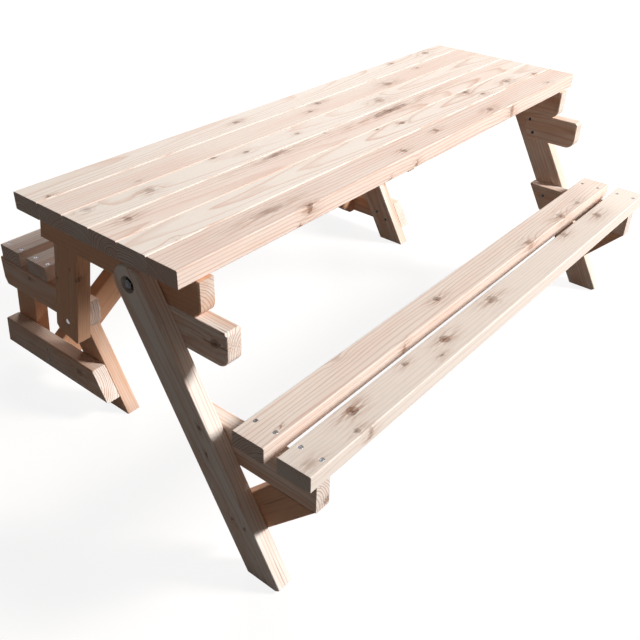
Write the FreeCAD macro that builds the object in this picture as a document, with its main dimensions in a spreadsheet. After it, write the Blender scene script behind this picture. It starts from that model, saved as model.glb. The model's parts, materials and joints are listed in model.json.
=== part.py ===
"""Convertible picnic table bench: a tabletop that folds over its pivots to become a backrest.

Three timber frames. The front frame carries a seat, the armrests and the front legs. The tabletop
turns over the front pivots. The rear frame carries the second seat and hangs from the tabletop's
two hangers. Frame of the part: X along the table, Y from the front seat to the rear seat, Z up,
origin on the ground in the middle of the footprint. Millimetres.
"""
import FreeCAD, Part
import math
import os
import re
import Sketcher

# Driving sizes: alias, value and what it is
SIZES = [
    ("board_width", 90, "face width of every board"),
    ("board_thickness", 44, "thickness of every board"),
    ("arris_chamfer", 2.5, "easing of the long edges"),
    ("table_length", 1800, "length of the tabletop"),
    ("table_height", 740, "top of the tabletop above the ground"),
    ("plank_count", 6, "planks in the tabletop"),
    ("plank_gap", 1, "gap between tabletop planks"),
    ("side_play", 2, "sideways gap between frames that turn"),
    ("turning_gap", 5, "gap between a leg's round top and the planks over it"),
    ("pivot_ahead", 111, "front pivot, ahead of the tabletop's middle"),
    ("hinge_ahead", 356, "rear hinge, ahead of the rear seat's rear edge"),
    ("rail_nose", 8, "rail's front end, ahead of the tabletop's edge"),
    ("rail_end_inset", 16, "rail's rear end, short of the hanger's rear edge"),
    ("corner_radius", 30, "rounded lower corner of rails and armrests"),
    ("armrest_reach", 82, "armrest's front end, ahead of the tabletop's edge"),
    ("armrest_chamfer", 7, "chamfer of the armrest's upper front corner"),
    ("bearing_gap", 1, "gap between the armrest's end and the folded rail"),
    ("seat_drop", 340, "top of the front seat below the top of the tabletop"),
    ("seat_step", 15, "rear seat above the front seat, as a table"),
    ("lift_gap", 1, "gap under the front seat for the folded rear frame"),
    ("seat_gap", 35, "gap between the two planks of a seat"),
    ("front_seat_reach", 605, "front seat's front edge, ahead of the tabletop's middle"),
    ("seat_nose", 10, "front seat's edge, ahead of its supports"),
    ("seat_end_inset", 12, "front seat's ends, short of the tabletop's ends"),
    ("rear_seat_reach", 656, "rear seat's rear edge, behind the tabletop's middle"),
    ("rear_tail", 11, "rear supports' ends, behind the rear seat"),
    ("rear_tail_chamfer", 22, "height of the chamfer under a rear support's end"),
    ("rear_end_inset", 2, "rear seat's ends, short of its supports' outer faces"),
    ("leg_lean", 30, "lean of all four legs, degrees"),
    ("toe_chamfer", 8, "chamfer of a front leg's toe"),
    ("front_brace_angle", 46.5, "slope of the front braces, degrees"),
    ("front_brace_inset", 3, "front brace, behind its support's end"),
    ("brace_cover", 10, "front brace's end, short of its leg's rear edge"),
    ("hanger_tail", 47, "hanger below the rear hinge"),
    ("hanger_chamfer", 16, "chamfer of the hanger's lower rear corner"),
    ("nose_reach", 28, "rear seat support's front end, ahead of the rear hinge"),
    ("nose_radius", 35, "rounded lower front corner of the rear seat support"),
    ("rear_leg_setback", 100, "rear legs' front edges, behind the rear hinge at its height"),
    ("beam_lift", 50, "underside of the low beams above the ground"),
    ("post_setout", 56, "posts' rear edges at the beam's top, behind the rear seat"),
    ("post_lean", 8, "lean of the posts, degrees"),
    ("edge_clearance", 8, "clearance of the post to the folded tabletop's edge"),
    ("diagonal_angle", 34, "slope of the long diagonal braces, degrees"),
    ("bolt_diameter", 12, "shank of the pivot and hinge bolts"),
    ("bolt_clearance", 0.05, "radial clearance of a bolt in its hole"),
    ("nut_width", 19, "nut and bolt head across the flats"),
    ("nut_height", 10, "thickness of a nut"),
    ("head_height", 7.5, "thickness of a hexagon bolt head"),
    ("cup_diameter", 24, "domed head of a hinge bolt"),
    ("cup_height", 5, "height of a hinge bolt's domed head"),
    ("cup_recess", 7, "depth of the counterbore round a domed head"),
    ("cup_play", 1, "gap round a domed head in its counterbore"),
    ("washer_diameter", 36, "outside of a washer"),
    ("washer_thickness", 2.5, "thickness of a washer"),
    ("counterbore_diameter", 40, "counterbore round a pivot nut"),
    ("counterbore_depth", 14, "depth of that counterbore"),
    ("thread_stub", 1, "bolt's end beyond its nut"),
    ("screw_diameter", 5, "shank of a wood screw"),
    ("screw_head", 11, "countersunk head of a wood screw"),
    ("screw_sides", 8, "sides of a wood screw's plain shank"),
    ("screw_proud", 0.3, "screw head above the wood's face"),
    ("screw_edge", 17, "screws from a plank's edge"),
    ("post_screw_drop", 11, "a post's upper screw, below the middle of its lap"),
    ("screw_bite", 34, "screw's length in the second board"),
    ("lap_half_spacing", 22, "half the spacing of the screws in a lap"),
]

# Derived places, each from the sizes and from the places above it
LAYOUT = [
    ("half_board", "board_width / 2"),
    ("half_length", "table_length / 2"),
    ("table_width", "plank_count * board_width + (plank_count - 1) * plank_gap"),
    ("table_front", "-table_width / 2"),
    ("table_under", "table_height - board_thickness"),
    ("rail_under", "table_under - board_width"),
    ("rail_front", "table_front - rail_nose"),
    ("arm_under", "rail_under - board_width"),
    ("arm_front", "table_front - armrest_reach"),
    ("pivot_y", "-pivot_ahead"),
    ("pivot_z", "table_under - turning_gap - half_board"),
    ("seat_height", "table_height - seat_drop"),
    ("seat_under", "seat_height - board_thickness"),
    ("support_under", "seat_under - board_width"),
    ("rear_under", "seat_under + seat_step"),
    ("rear_support_under", "rear_under - board_width"),
    ("hinge_y", "rear_seat_reach - hinge_ahead"),
    ("hinge_z", "rear_under - half_board"),
    # Folded: the hangers lie level just under the front seat
    ("bench_drop", "pivot_z - (seat_under - lift_gap - half_board)"),
    ("link", "sqrt((hinge_y - pivot_y)^2 + (pivot_z - hinge_z)^2)"),
    ("start_dip", "atan((pivot_z - hinge_z) / (hinge_y - pivot_y)) / 1deg"),
    ("end_dip", "asin(bench_drop / link) / 1deg"),
    ("fold_angle", "180 - start_dip - end_dip"),
    ("recline", "fold_angle - 90"),
    ("recline_sin", "sin(recline * 1deg)"),
    ("recline_cos", "cos(recline * 1deg)"),
    ("recline_tan", "tan(recline * 1deg)"),
    ("travel_y", "pivot_y - link * cos(end_dip * 1deg) - hinge_y"),
    ("travel_z", "pivot_z - bench_drop - hinge_z"),
    # Legs
    ("lean_sin", "sin(leg_lean * 1deg)"),
    ("lean_cos", "cos(leg_lean * 1deg)"),
    ("lean_tan", "tan(leg_lean * 1deg)"),
    ("leg_half", "half_board / lean_cos"),
    ("leg_heel", "pivot_y - pivot_z * lean_tan + leg_half"),
    ("leg_toe", "pivot_y - pivot_z * lean_tan - leg_half"),
    # Front braces, from the seat support down to the leg
    ("brace_tan", "tan(front_brace_angle * 1deg)"),
    ("support_front", "seat_nose - front_seat_reach"),
    ("brace_front", "support_front + front_brace_inset"),
    ("brace_rear", "brace_front + board_width / sin(front_brace_angle * 1deg)"),
    ("brace_end", "leg_heel - brace_cover"),
    ("brace_low", "(brace_front - brace_end + support_under / brace_tan)"
                  " / (lean_tan + 1 / brace_tan)"),
    ("brace_high", "(brace_rear - brace_end + support_under / brace_tan)"
                   " / (lean_tan + 1 / brace_tan)"),
    # Rear frame
    ("rear_toe", "hinge_y + rear_leg_setback - hinge_z * lean_tan"),
    ("rear_tail_y", "rear_seat_reach + rear_tail"),
    ("beam_top", "beam_lift + board_width"),
    ("post_tan", "tan(post_lean * 1deg)"),
    ("post_across", "board_width / cos(post_lean * 1deg)"),
    ("post_rear", "rear_seat_reach + post_setout"),
    ("edge_y", "pivot_y + (table_under - pivot_z) * recline_cos"
               " - (table_width / 2 - pivot_y) * recline_sin - travel_y"),
    ("edge_z", "pivot_z - (table_under - pivot_z) * recline_sin"
               " - (table_width / 2 - pivot_y) * recline_cos - travel_z"),
    ("mitre_sum", "edge_y + edge_z - edge_clearance * sqrt(2)"),
    ("mitre_rear", "(mitre_sum - post_rear - beam_top * post_tan) / (1 - post_tan)"),
    ("mitre_front", "min((mitre_sum - post_rear + post_across - beam_top * post_tan)"
                    " / (1 - post_tan); rear_under)"),
    ("diagonal_tan", "tan(diagonal_angle * 1deg)"),
    ("diagonal_depth", "board_width / cos(diagonal_angle * 1deg)"),
    ("diagonal_heel", "(beam_lift - beam_top + diagonal_depth) / diagonal_tan"),
    ("diagonal_inner", "(rear_under - beam_top + diagonal_depth) / diagonal_tan"),
    ("diagonal_outer", "(rear_under - beam_top) / diagonal_tan"),
    # Lanes: outer faces of the boards, from the middle of the table
    ("lane_leg", "half_length"),
    ("lane_arm", "lane_leg - board_thickness"),
    ("lane_rail", "lane_arm - side_play"),
    ("lane_hanger", "lane_rail - board_thickness"),
    ("lane_support", "lane_hanger - board_thickness - side_play"),
    ("lane_rear_leg", "lane_support - board_thickness"),
    ("lane_inside", "lane_rear_leg - board_thickness"),
    # The ground point under the middle of the footprint
    ("origin_y", "(front_seat_reach - post_rear - board_width * post_tan) / 2"),
]

SIDES = [("left", -1), ("right", 1)]

doc = FreeCAD.newDocument("PicnicTableBench")
sheet = doc.addObject("Spreadsheet::Sheet", "Sizes")
for row, (alias, value, note) in enumerate(SIZES, start=1):
    sheet.set(f"A{row}", str(value))
    sheet.setAlias(f"A{row}", alias)
    sheet.set(f"B{row}", note)
doc.recompute()

layout = doc.addObject("App::VarSet", "Layout")
SIZE_NAMES = {alias for alias, value, note in SIZES}
LAYOUT_NAMES = {name for name, text in LAYOUT}


def bound(text):
    """Give each size and place in a formula the name of the object that holds it."""
    def full(match):
        word = match.group(0)
        if word in SIZE_NAMES:
            return "Sizes." + word
        return "Layout." + word if word in LAYOUT_NAMES else word
    return re.sub(r"[a-z][a-z_]+", full, text)


def number(text):
    """The present value of a formula."""
    return float(layout.evalExpression(bound(text)))


for name, text in LAYOUT:
    layout.addProperty("App::PropertyFloat", name, "Layout")
    layout.setExpression(name, bound(text))
    doc.recompute()


def face_of(body, role):
    """One of the body's origin planes."""
    return next(item for item in body.Origin.OriginFeatures if item.Role == role)


def new_sketch(body, name, role, offset="0"):
    """A sketch on one of the body's own origin planes, moved along the plane's normal."""
    sketch = body.newObject("Sketcher::SketchObject", name)
    sketch.AttachmentSupport = [(face_of(body, role), "")]
    sketch.MapMode = "FlatFace"
    if offset != "0":
        sketch.setExpression("AttachmentOffset.Base.z", bound(offset))
    return sketch


def place_point(sketch, curve, position, across, up, point):
    """Bind one point of a curve to its formulas across and up."""
    for kind, text, value in (("DistanceX", across, point.x), ("DistanceY", up, point.y)):
        index = sketch.addConstraint(Sketcher.Constraint(kind, -1, 1, curve, position, value))
        sketch.setExpression(f"Constraints[{index}]", bound(text))


def draw_outline(sketch, corners):
    """A closed outline, anticlockwise. A corner's third entry starts an arc and says how far
    across the arc's centre lies."""
    points = [FreeCAD.Vector(number(corner[0]), number(corner[1]), 0) for corner in corners]
    count = len(points)
    for index, corner in enumerate(corners):
        start, end = points[index], points[(index + 1) % count]
        if len(corner) == 2:
            sketch.addGeometry(Part.LineSegment(start, end), False)
            continue
        chord, middle = end - start, (start + end) / 2
        outward = FreeCAD.Vector(chord.y, -chord.x, 0).normalize()
        centre = middle + outward * ((number(corner[2]) - middle.x) / outward.x)
        crown = centre + outward * (start - centre).Length
        sketch.addGeometry(Part.Arc(start, crown, end), False)
    for index in range(count):
        sketch.addConstraint(Sketcher.Constraint("Coincident", index, 2, (index + 1) % count, 1))
    for index, corner in enumerate(corners):
        place_point(sketch, index, 1, corner[0], corner[1], points[index])
        if len(corner) == 3:
            value = number(corner[2])
            key = sketch.addConstraint(
                Sketcher.Constraint("DistanceX", -1, 1, index, 3, value))
            sketch.setExpression(f"Constraints[{key}]", bound(corner[2]))


def new_board(label, role, corners, length, grain, centred=False):
    """A board: its outline padded to its length or thickness, its long edges eased."""
    body = doc.addObject("PartDesign::Body", "Body")
    body.Label = label
    sketch = new_sketch(body, "Outline", role)
    draw_outline(sketch, corners)
    pad = body.newObject("PartDesign::Pad", "Board")
    pad.Profile = sketch
    pad.setExpression("Length", bound(length))
    pad.Midplane = centred
    doc.recompute()
    along = FreeCAD.Vector(*grain).normalize()
    long_edges = [
        f"Edge{index}" for index, edge in enumerate(pad.Shape.Edges, start=1)
        if edge.Curve.TypeId == "Part::GeomLine" and edge.Curve.Direction.cross(along).Length < 1e-4
    ]
    easing = body.newObject("PartDesign::Chamfer", "EasedArrises")
    easing.Base = (pad, long_edges)
    easing.setExpression("Size", bound("arris_chamfer"))
    body.setExpression("Placement.Base.y", bound("origin_y"))
    return body


def lane_place(body, lane, side):
    """Set a board in its lane, on the left or the right."""
    text = f"-{lane}" if side < 0 else f"{lane} - board_thickness"
    body.setExpression("Placement.Base.x", bound(text))


def side_board(label, lane, side, corners, grain):
    """A board on edge in one of the lanes, with its outline seen from the table's end."""
    body = new_board(label, "YZ_Plane", corners, "board_thickness", (0, *grain))
    lane_place(body, lane, side)
    return body


def drill(body, name, role, offset, centres, diameter, depth, backward):
    """Round holes from a plane into the body. Backward holes run along the plane's normal."""
    sketch = new_sketch(body, name + "Centres", role, offset)
    radius = number(diameter) / 2
    for index, (across, up) in enumerate(centres):
        centre = FreeCAD.Vector(number(across), number(up), 0)
        sketch.addGeometry(Part.Circle(centre, FreeCAD.Vector(0, 0, 1), radius), False)
        place_point(sketch, index, 3, across, up, centre)
        key = sketch.addConstraint(Sketcher.Constraint("Diameter", index, 2 * radius))
        sketch.setExpression(f"Constraints[{key}]", bound(diameter))
    doc.recompute()
    before = body.Shape.Volume
    pocket = body.newObject("PartDesign::Pocket", name)
    pocket.Profile = sketch
    pocket.Reversed = backward
    pocket.setExpression("Length", bound(depth))
    doc.recompute()
    if body.Shape.Volume > before - 1:
        raise RuntimeError(f"{body.Label}: {name} cuts nothing")


BOLT_HOLE = "(bolt_diameter + 2 * bolt_clearance)"
MIDDLE = "board_thickness / 2"


def inner_face(side):
    """Where a side board's inner face is, in the board's own X, and whether holes run forward."""
    return ("board_thickness", False) if side < 0 else ("0", True)


def outer_face(side):
    """The same for the outer face."""
    return inner_face(-side)


def bolt_hole(body, centre, face, recess=None):
    """A bolt hole through a side board, with a counterbore if one is asked for."""
    offset, backward = face
    drill(body, "BoltHole", "YZ_Plane", offset, [centre], BOLT_HOLE, "board_thickness", backward)
    if recess:
        diameter, depth = recess
        drill(body, "Counterbore", "YZ_Plane", offset, [centre], diameter, depth, backward)


def plank(label, front, under, half):
    """A plank along the table."""
    rear, top = f"{front} + board_width", f"{under} + board_thickness"
    return new_board(label, "YZ_Plane",
                     [(front, top), (front, under), (rear, under), (rear, top)],
                     f"2 * ({half})", (1, 0, 0), centred=True)


def leg_front(height):
    """Y of a front leg's front edge at a height. The next three do the same for other edges."""
    return f"(leg_toe + ({height}) * lean_tan)"


def leg_rear(height):
    return f"(leg_heel + ({height}) * lean_tan)"


def rear_leg_front(height):
    return f"(rear_toe + ({height}) * lean_tan)"


def rear_leg_rear(height):
    return f"(rear_toe + 2 * leg_half + ({height}) * lean_tan)"


def hanger_edge(height, sign):
    """Y of the hanger's front edge (-1), middle (0) or rear edge (1) at a height."""
    return f"(hinge_y - ({height} - hinge_z) * recline_tan + ({sign}) * half_board / recline_cos)"


def hanger_point(across, down):
    """A point of the hanger, across and down from the hinge along the leaning board."""
    return (f"(hinge_y + ({across}) * recline_cos + ({down}) * recline_sin)",
            f"(hinge_z + ({across}) * recline_sin - ({down}) * recline_cos)")


def armrest_end(height):
    """Y of the armrest's rear end, which the folded rail leans on."""
    return (f"(pivot_y - (pivot_z - rail_under + bearing_gap) / recline_cos"
            f" - (pivot_z - {height}) * recline_tan)")


def post_edge(height):
    """Y of a rear post's rear edge at a height."""
    return f"(post_rear - ({height} - beam_top) * post_tan)"


PIVOT = ("pivot_y", "pivot_z")
HINGE = ("hinge_y", "hinge_z")

# Rows of screws, each a place across the table and a height
LAP = "lap_half_spacing"


def lap_pair(y, z):
    """Two screws on a rising diagonal about the middle of a lap."""
    return [(f"{y} - {LAP}", f"{z} - {LAP} / 2"), (f"{y} + {LAP}", f"{z} + {LAP} / 2")]


ARM_MIDDLE = "(rail_under - half_board)"
SUPPORT_MIDDLE = "(seat_under - half_board)"
BEAM_MIDDLE = "(beam_top - half_board)"
BRACE_MIDDLE = "((brace_low + brace_high) / 2)"
ARM_SCREWS = [(f"({leg_front(z)} + {armrest_end(z)}) / 2", z)
              for z in (f"({ARM_MIDDLE} - {LAP})", f"({ARM_MIDDLE} + {LAP})")]
SUPPORT_SCREWS = lap_pair(f"({leg_rear(SUPPORT_MIDDLE)} - leg_half)", SUPPORT_MIDDLE)
BRACE_SCREWS = [(f"({leg_rear(BRACE_MIDDLE)} - leg_half)", BRACE_MIDDLE)]
RAIL_SCREWS = lap_pair(
    f"({hanger_edge('(rail_under + half_board)', 0)} - rail_end_inset / 2)",
    "(rail_under + half_board)")
REAR_SUPPORT_SCREWS = lap_pair(f"({rear_leg_rear('hinge_z')} - leg_half)", "hinge_z")
REAR_BEAM_SCREWS = lap_pair(f"({rear_leg_rear(BEAM_MIDDLE)} - leg_half)", BEAM_MIDDLE)
POST_LAP = "((rear_support_under + mitre_front) / 2 - post_screw_drop)"
POST_TOP_SCREWS = [(f"({post_edge(POST_LAP)} - post_across / 2)", POST_LAP)]
POST_FOOT_SCREWS = [(f"({post_edge(BEAM_MIDDLE)} - post_across / 2)", BEAM_MIDDLE)]
DIAGONAL_Y = "(rear_seat_reach - board_width - seat_gap)"
DIAGONAL_SCREWS = [(f"({DIAGONAL_Y} - {MIDDLE})", f"{BEAM_MIDDLE} - screw_edge"),
                   (f"({DIAGONAL_Y} - {MIDDLE})", f"{BEAM_MIDDLE} + screw_edge")]
FRONT_PLANKS = ["-front_seat_reach", "(board_width + seat_gap - front_seat_reach)"]
REAR_PLANKS = ["(rear_seat_reach - board_width)", "(rear_seat_reach - 2 * board_width - seat_gap)"]


def plank_rows(front):
    """The two rows of screws across a seat plank."""
    return [f"{front} + screw_edge", f"{front} + board_width - screw_edge"]


def table_plank_front(index):
    """Y of a table plank's front edge."""
    return f"(table_front + {index} * (board_width + plank_gap))"


TABLE_PLANKS = int(number("plank_count"))
TABLE_ROWS = [f"({table_plank_front(index)} + half_board)" for index in range(TABLE_PLANKS)]
ARM_LINE = f"(lane_arm - {MIDDLE})"
RAIL_LINE = f"(lane_rail - {MIDDLE})"
REAR_LINE = f"(lane_support - {MIDDLE})"
DIAGONAL_LINE = "(lane_rear_leg - (diagonal_inner + diagonal_outer) / 2)"


def make_front_frame():
    """Front legs, armrests, seat supports, braces and the front seat."""
    for name, side in SIDES:
        leg = side_board(f"front_leg_{name}", "lane_leg", side, [
            ("pivot_y - half_board * lean_cos", "pivot_z + half_board * lean_sin"),
            (leg_front("toe_chamfer"), "toe_chamfer"),
            ("leg_toe + 2 * toe_chamfer", "0"),
            ("leg_heel", "0"),
            ("pivot_y + half_board * lean_cos", "pivot_z - half_board * lean_sin", "pivot_y"),
        ], (number("lean_sin"), number("lean_cos")))
        bolt_hole(leg, PIVOT, outer_face(side), ("counterbore_diameter", "counterbore_depth"))
        side_board(f"armrest_{name}", "lane_arm", side, [
            ("arm_front + armrest_chamfer", "rail_under"),
            ("arm_front", "rail_under - armrest_chamfer"),
            ("arm_front", "arm_under + corner_radius", "arm_front + corner_radius"),
            ("arm_front + corner_radius", "arm_under"),
            (armrest_end("arm_under"), "arm_under"),
            (armrest_end("rail_under"), "rail_under"),
        ], (1, 0))
        side_board(f"front_seat_support_{name}", "lane_arm", side, [
            ("support_front", "seat_under"),
            ("support_front", "support_under"),
            (leg_rear("support_under"), "support_under"),
            (leg_rear("seat_under"), "seat_under"),
        ], (1, 0))
        side_board(f"front_brace_{name}", "lane_arm", side, [
            ("brace_front", "support_under"),
            ("brace_end + brace_low * lean_tan", "brace_low"),
            ("brace_end + brace_high * lean_tan", "brace_high"),
            ("brace_rear", "support_under"),
        ], (1, -number("brace_tan")))
    for name, front in zip(("outer", "inner"), FRONT_PLANKS):
        plank(f"front_seat_plank_{name}", front, "seat_under", "half_length - seat_end_inset")


def make_tabletop():
    """Six planks on two rails, with a hanger inside each rail."""
    for index in range(TABLE_PLANKS):
        plank(f"table_plank_{index + 1}", table_plank_front(index), "table_under", "half_length")
    for name, side in SIDES:
        rail = side_board(f"table_rail_{name}", "lane_rail", side, [
            ("rail_front", "table_under"),
            ("rail_front", "rail_under + corner_radius", "rail_front + corner_radius"),
            ("rail_front + corner_radius", "rail_under"),
            (f"{hanger_edge('rail_under', 1)} - rail_end_inset", "rail_under"),
            (f"{hanger_edge('table_under', 1)} - rail_end_inset", "table_under"),
        ], (1, 0))
        bolt_hole(rail, PIVOT, inner_face(side))
        hanger = side_board(f"table_hanger_{name}", "lane_hanger", side, [
            (hanger_edge("table_under", -1), "table_under"),
            hanger_point("-half_board", "hanger_tail"),
            hanger_point("half_board - hanger_chamfer", "hanger_tail"),
            hanger_point("half_board", "hanger_tail - hanger_chamfer"),
            (hanger_edge("table_under", 1), "table_under"),
        ], (-number("recline_sin"), number("recline_cos")))
        bolt_hole(hanger, HINGE, outer_face(side),
                  ("cup_diameter + 2 * cup_play", "cup_recess"))


def make_rear_frame():
    """Seat supports, legs, low beams, posts, long diagonals and the rear seat."""
    for name, side in SIDES:
        outer = outer_face(side)
        support = side_board(f"rear_seat_support_{name}", "lane_support", side, [
            ("hinge_y - nose_reach", "rear_under"),
            ("hinge_y - nose_reach", "rear_support_under + nose_radius",
             "hinge_y - nose_reach + nose_radius"),
            ("hinge_y - nose_reach + nose_radius", "rear_support_under"),
            ("rear_tail_y - rear_tail_chamfer / 2", "rear_support_under"),
            ("rear_tail_y", "rear_support_under + rear_tail_chamfer"),
            ("rear_tail_y", "rear_under"),
        ], (1, 0))
        bolt_hole(support, HINGE, outer)
        side_board(f"rear_leg_{name}", "lane_rear_leg", side, [
            (rear_leg_front("rear_under"), "rear_under"),
            ("rear_toe", "0"),
            ("rear_toe + 2 * leg_half", "0"),
            (rear_leg_rear("rear_under"), "rear_under"),
        ], (number("lean_sin"), number("lean_cos")))
        side_board(f"low_beam_{name}", "lane_support", side, [
            (rear_leg_front("beam_top"), "beam_top"),
            (rear_leg_front("beam_lift"), "beam_lift"),
            (post_edge("beam_lift"), "beam_lift"),
            (post_edge("beam_top"), "beam_top"),
        ], (1, 0))
        side_board(f"rear_post_{name}", "lane_rear_leg", side, [
            (f"{post_edge('mitre_front')} - post_across", "mitre_front"),
            (f"{post_edge('beam_lift')} - post_across", "beam_lift"),
            (post_edge("beam_lift"), "beam_lift"),
            (post_edge("mitre_rear"), "mitre_rear"),
        ], (-number("post_tan"), 1))
        make_diagonal(name, side)
    for name, front in zip(("outer", "inner"), REAR_PLANKS):
        plank(f"rear_seat_plank_{name}", front, "rear_under", "lane_support - rear_end_inset")


def make_diagonal(name, side):
    """The long brace from the low beam up to the underside of the rear seat."""
    corners = [
        ("lane_rear_leg", "beam_top"),
        ("lane_rear_leg", "beam_lift"),
        ("lane_rear_leg - diagonal_heel", "beam_lift"),
        ("lane_rear_leg - diagonal_inner", "rear_under"),
        ("lane_rear_leg - diagonal_outer", "rear_under"),
    ]
    slope = number("diagonal_tan")
    if side < 0:
        corners = [(f"-({across})", up) for across, up in corners]
        grain = (1, 0, slope)
    else:
        corners = corners[::-1]
        grain = (-1, 0, slope)
    body = new_board(f"long_brace_{name}", "XZ_Plane", corners, "board_thickness", grain)
    body.setExpression("Placement.Base.y", bound(f"origin_y + {DIAGONAL_Y}"))


def round_bar(radius, length, start=0.0):
    """A round bar along Z."""
    return Part.makeCylinder(radius, length, FreeCAD.Vector(0, 0, start))


def hexagon(width, height, start=0.0):
    """A hexagonal block along Z, by its width across the flats."""
    corner = width / math.sqrt(3)
    points = [FreeCAD.Vector(corner * math.cos(math.pi / 3 * step),
                             corner * math.sin(math.pi / 3 * step), start) for step in range(7)]
    return Part.Face(Part.makePolygon(points)).extrude(FreeCAD.Vector(0, 0, height))


def ring(outer, hole, thickness):
    """A flat ring round Z."""
    return round_bar(outer, thickness).cut(round_bar(hole, thickness))


def facing(shape, point, direction):
    """A copy of a shape made along +Z, moved to a point and turned to a direction."""
    turn = FreeCAD.Rotation(FreeCAD.Vector(0, 0, 1), FreeCAD.Vector(*direction))
    moved = shape.copy()
    moved.Placement = FreeCAD.Placement(
        FreeCAD.Vector(point[0], point[1] + number("origin_y"), point[2]), turn)
    return moved


def group(label, shapes):
    """Identical fasteners, as separate solids of one node."""
    item = doc.addObject("Part::Feature", "Group")
    item.Label = label
    item.Shape = Part.makeCompound(shapes)
    return item


def wood_screw(length, proud):
    """A countersunk screw along -Z, its head's face a little above or below the wood's face."""
    sides = int(number("screw_sides"))
    head, shank = number("screw_head") / 2, number("screw_diameter") / 2
    neck, shoulder = proud - head + shank, shank - length

    def section(radius, height):
        return Part.makePolygon([FreeCAD.Vector(
            radius * math.cos(2 * math.pi * step / sides),
            radius * math.sin(2 * math.pi * step / sides), height) for step in range(sides + 1)])

    tip = Part.Vertex(FreeCAD.Vector(0, 0, -length))
    cone = Part.makeLoft([section(head, proud), section(shank, neck)], True, True)
    bar = Part.makeLoft([section(shank, neck), section(shank, shoulder)], True, True)
    point = Part.makeLoft([section(shank, shoulder), tip], True, True)
    return cone.fuse([bar, point]).removeSplitter()


def add_screws(label, places):
    """Screws at points, each with its outward direction, length and height above the face."""
    group(label, [facing(wood_screw(length, proud), point, direction)
                  for point, direction, length, proud in places])


def crosswise(side, face, centres, length, outward):
    """Screws through a side board, from its outer or inner face at a distance from the middle."""
    direction = (side if outward else -side, 0, 0)
    return [((side * number(face), number(y), number(z)), direction, length,
             number("screw_proud")) for y, z in centres]


def downward(lines, rows, height, length):
    """Screws down through planks, at each line either side and each row."""
    return [((sign * number(line), number(row), number(height)), (0, 0, 1), length,
             number("screw_proud")) for line in lines for sign in (-1, 1) for row in rows]


def make_screws():
    thick, bite = number("board_thickness"), number("screw_bite")
    lap = thick + bite
    front, table, rear = [], [], []
    for name, side in SIDES:
        front += crosswise(side, "lane_arm - board_thickness",
                           ARM_SCREWS + SUPPORT_SCREWS + BRACE_SCREWS, lap, False)
        table += crosswise(side, "lane_hanger - board_thickness", RAIL_SCREWS, lap, False)
        rear += crosswise(side, "lane_inside", REAR_SUPPORT_SCREWS + REAR_BEAM_SCREWS
                          + POST_TOP_SCREWS + POST_FOOT_SCREWS, lap, False)
        rear += crosswise(side, "lane_support", DIAGONAL_SCREWS, thick + 2 * bite, True)
    for sign in (-1, 1):
        table += [((sign * number(RAIL_LINE), number(row), number("rail_under")), (0, 0, -1),
                   number("board_width") + bite, 0) for row in TABLE_ROWS]
    add_screws("front_frame_screws", front)
    add_screws("tabletop_screws", table)
    add_screws("rear_frame_screws", rear)
    front_rows = [row for start in FRONT_PLANKS for row in plank_rows(start)]
    rear_rows = [row for start in REAR_PLANKS for row in plank_rows(start)]
    add_screws("front_seat_screws", downward([ARM_LINE], front_rows, "seat_height", lap))
    seat = downward([REAR_LINE], rear_rows, "rear_under + board_thickness", lap)
    seat += downward([DIAGONAL_LINE], [f"{DIAGONAL_Y} - {MIDDLE}"],
                     "rear_under + board_thickness", lap)
    add_screws("rear_seat_screws", seat)


def make_bolts():
    """Pivot bolts, nuts and washers at the legs, hinge bolts, nuts and washers at the hangers."""
    shank = number("bolt_diameter") / 2
    eye = shank + number("bolt_clearance")
    washer = ring(number("washer_diameter") / 2, eye, number("washer_thickness"))
    nut = hexagon(number("nut_width"), number("nut_height")).cut(
        round_bar(eye, number("nut_height")))
    thick = number("board_thickness")
    bolts, nuts, washers = [], [], []
    cup_bolts, hinge_nuts, hinge_washers = [], [], []
    pivot = (number("pivot_y"), number("pivot_z"))
    hinge = (number("hinge_y"), number("hinge_z"))
    for name, side in SIDES:
        out = (side, 0, 0)

        def at(distance, axis):
            return (side * distance, *axis)

        # Pivot: head inside the rail, nut in the leg's counterbore
        nut_seat = number("lane_leg") - number("counterbore_depth")
        head_seat = number("lane_rail") - thick
        reach = (nut_seat + number("washer_thickness") + number("nut_height")
                 + number("thread_stub") - head_seat)
        head_top = -number("washer_thickness")
        bolt = round_bar(shank, reach - head_top, head_top).fuse(
            hexagon(number("nut_width"), number("head_height"), head_top - number("head_height")))
        bolts.append(facing(bolt, at(head_seat, pivot), out))
        nuts.append(facing(nut, at(nut_seat + number("washer_thickness"), pivot), out))
        washers.append(facing(washer, at(nut_seat, pivot), out))
        washers.append(facing(washer, at(head_seat - number("washer_thickness"), pivot), out))

        # Hinge: domed head in the hanger's outer face, nut inside the rear seat support
        cup_seat = number("lane_hanger") - number("cup_recess")
        inside = number("lane_rear_leg")
        stub = number("washer_thickness") + number("nut_height") + number("thread_stub")
        length = cup_seat - inside + stub
        half_cup, rise = number("cup_diameter") / 2, number("cup_height")
        ball = (half_cup ** 2 + rise ** 2) / (2 * rise)
        cap = Part.makeSphere(ball, FreeCAD.Vector(0, 0, rise - ball)).common(
            round_bar(half_cup, rise))
        cup_bolt = round_bar(shank, length, -length).fuse(cap)
        cup_bolts.append(facing(cup_bolt, at(cup_seat, hinge), out))
        hinge_nuts.append(facing(nut, at(inside - number("washer_thickness")
                                         - number("nut_height"), hinge), out))
        hinge_washers.append(facing(washer, at(inside - number("washer_thickness"), hinge), out))
    group("pivot_bolts", bolts)
    group("pivot_nuts", nuts)
    group("pivot_washers", washers)
    group("hinge_bolts", cup_bolts)
    group("hinge_nuts", hinge_nuts)
    group("hinge_washers", hinge_washers)


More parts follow.
